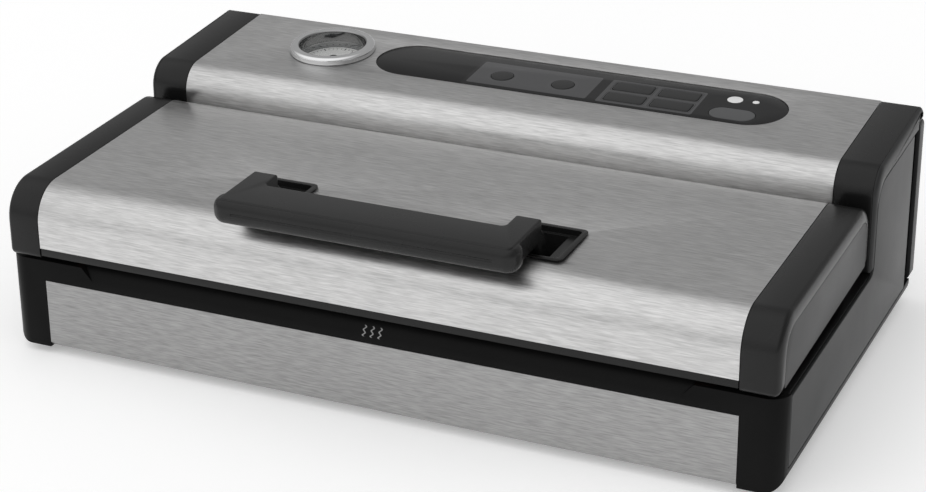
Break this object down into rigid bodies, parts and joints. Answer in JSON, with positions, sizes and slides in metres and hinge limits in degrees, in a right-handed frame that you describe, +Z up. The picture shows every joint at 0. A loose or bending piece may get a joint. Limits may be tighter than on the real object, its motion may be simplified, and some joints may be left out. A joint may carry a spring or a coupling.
{
  "type": "vacuum sealer",
  "caption": "Countertop vacuum sealer: flat base with seal bar and drip tray, hinged lid with a swinging latch handle, raised rear housing with gauge and key panel.",
  "frame": {"origin": "on the standing surface, under the middle of the object's box", "axes": "+X along the long side, the lid's front faces -Y, +Z up"},
  "size_m": [0.495, 0.302, 0.1376],
  "materials": {
    "brushed_steel": "stainless sheet, brushed along the long side",
    "plain_steel": "zinc-plated steel",
    "chrome_ring": "polished chrome",
    "bar_aluminium": "satin",
    "heater_alloy": "bright resistance strip",
    "black_plastic": "moulded, fine texture, low sheen",
    "handle_plastic": "moulded, fine texture, low sheen",
    "grey_plastic": "dark grey moulded, fine texture",
    "foot_rubber": "matt rubber",
    "gasket_foam": "closed-cell foam",
    "press_silicone": "silicone rubber",
    "ptfe_tape": "coated glass cloth tape",
    "transformer_core": "lacquered laminations and wound copper",
    "circuit_board": "green solder mask",
    "dial_face": "printed white dial",
    "lens_glass": "clear, polished",
    "panel_gloss": "glossy printed film",
    "key_dark": "smooth",
    "key_grey": "smooth",
    "lamp_diffuser": "white diffuser"
  },
  "bodies": {
    "base": {"base_frame": "black_plastic", "front_trim_panel": "brushed_steel", "bottom_plate": "grey_plastic", "side_panel_right": "grey_plastic", "side_panel_left": "grey_plastic", "rear_cover": "grey_plastic", "mains_inlet": "black_plastic", "foot_front_left": "foot_rubber", "foot_front_right": "foot_rubber", "foot_rear_left": "foot_rubber", "foot_rear_right": "foot_rubber", "seal_bar": "bar_aluminium", "heating_strip": "heater_alloy", "seal_tape": "ptfe_tape", "lower_gasket": "gasket_foam", "drip_tray": "grey_plastic", "vacuum_nozzle": "black_plastic", "latch_catch_right": "plain_steel", "latch_catch_left": "plain_steel", "hinge_bracket_right": "plain_steel", "hinge_bracket_left": "plain_steel", "vacuum_pump": "bar_aluminium", "pump_motor": "plain_steel", "transformer": "transformer_core", "main_board": "circuit_board", "solenoid_valve": "bar_aluminium", "vacuum_hose": "foot_rubber", "lid_sensor": "key_dark", "rear_skin": "brushed_steel", "rear_end_cap_right": "black_plastic", "rear_end_cap_left": "black_plastic", "gauge_bezel": "chrome_ring", "gauge_case": "black_plastic", "gauge_dial": "dial_face", "gauge_lens": "lens_glass", "control_fascia": "panel_gloss", "status_lamp": "lamp_diffuser", "ready_lamp": "lamp_diffuser", "key_board": "circuit_board"},
    "lid": {"lid_skin": "brushed_steel", "lid_end_cap_right": "black_plastic", "lid_end_cap_left": "black_plastic", "lid_side_plate_right": "grey_plastic", "lid_side_plate_left": "grey_plastic", "lid_inner_frame": "black_plastic", "lid_chamber_plate": "bar_aluminium", "upper_gasket": "gasket_foam", "press_strip": "press_silicone", "handle_pocket_right": "black_plastic", "handle_pocket_left": "black_plastic"},
    "latch_handle": {"handle": "handle_plastic", "latch_shaft": "plain_steel"},
    "needle": {"gauge_needle": "key_dark"},
    "key_vacuum": {"vacuum_key": "key_dark"},
    "key_seal": {"seal_key": "key_dark"},
    "key_mode_1": {"mode_key_1": "key_dark"},
    "key_mode_2": {"mode_key_2": "key_dark"},
    "key_mode_3": {"mode_key_3": "key_dark"},
    "key_mode_4": {"mode_key_4": "key_dark"},
    "key_stop": {"stop_key": "key_grey"}
  },
  "joints": [
    {"name": "lid_hinge", "type": "hinge", "parent": "base", "child": "lid", "pos_m": [0, 0.0195, 0.094], "axis": [-1, 0, 0], "range_deg": [0, 90]},
    {"name": "handle_swing", "type": "hinge", "parent": "lid", "child": "latch_handle", "pos_m": [0, -0.092, 0.094], "axis": [-1, 0, 0], "range_deg": [-6, 55]},
    {"name": "needle_turn", "type": "hinge", "parent": "base", "child": "needle", "pos_m": [-0.1435, 0.103, 0.1315], "axis": [0, 0.0523, -0.9986], "range_deg": [0, 260], "stiffness_Nm_per_rad": 0.0001},
    {"name": "vacuum_key_press", "type": "slide", "parent": "base", "child": "key_vacuum", "axis": [0, 0.0523, -0.9986], "range_m": [0, 0.0005], "stiffness_N_per_m": 400},
    {"name": "seal_key_press", "type": "slide", "parent": "base", "child": "key_seal", "axis": [0, 0.0523, -0.9986], "range_m": [0, 0.0005], "stiffness_N_per_m": 400},
    {"name": "mode_key_1_press", "type": "slide", "parent": "base", "child": "key_mode_1", "axis": [0, 0.0523, -0.9986], "range_m": [0, 0.0005], "stiffness_N_per_m": 400},
    {"name": "mode_key_2_press", "type": "slide", "parent": "base", "child": "key_mode_2", "axis": [0, 0.0523, -0.9986], "range_m": [0, 0.0005], "stiffness_N_per_m": 400},
    {"name": "mode_key_3_press", "type": "slide", "parent": "base", "child": "key_mode_3", "axis": [0, 0.0523, -0.9986], "range_m": [0, 0.0005], "stiffness_N_per_m": 400},
    {"name": "mode_key_4_press", "type": "slide", "parent": "base", "child": "key_mode_4", "axis": [0, 0.0523, -0.9986], "range_m": [0, 0.0005], "stiffness_N_per_m": 400},
    {"name": "stop_key_press", "type": "slide", "parent": "base", "child": "key_stop", "axis": [0, 0.0523, -0.9986], "range_m": [0, 0.0005], "stiffness_N_per_m": 400}
  ]
}
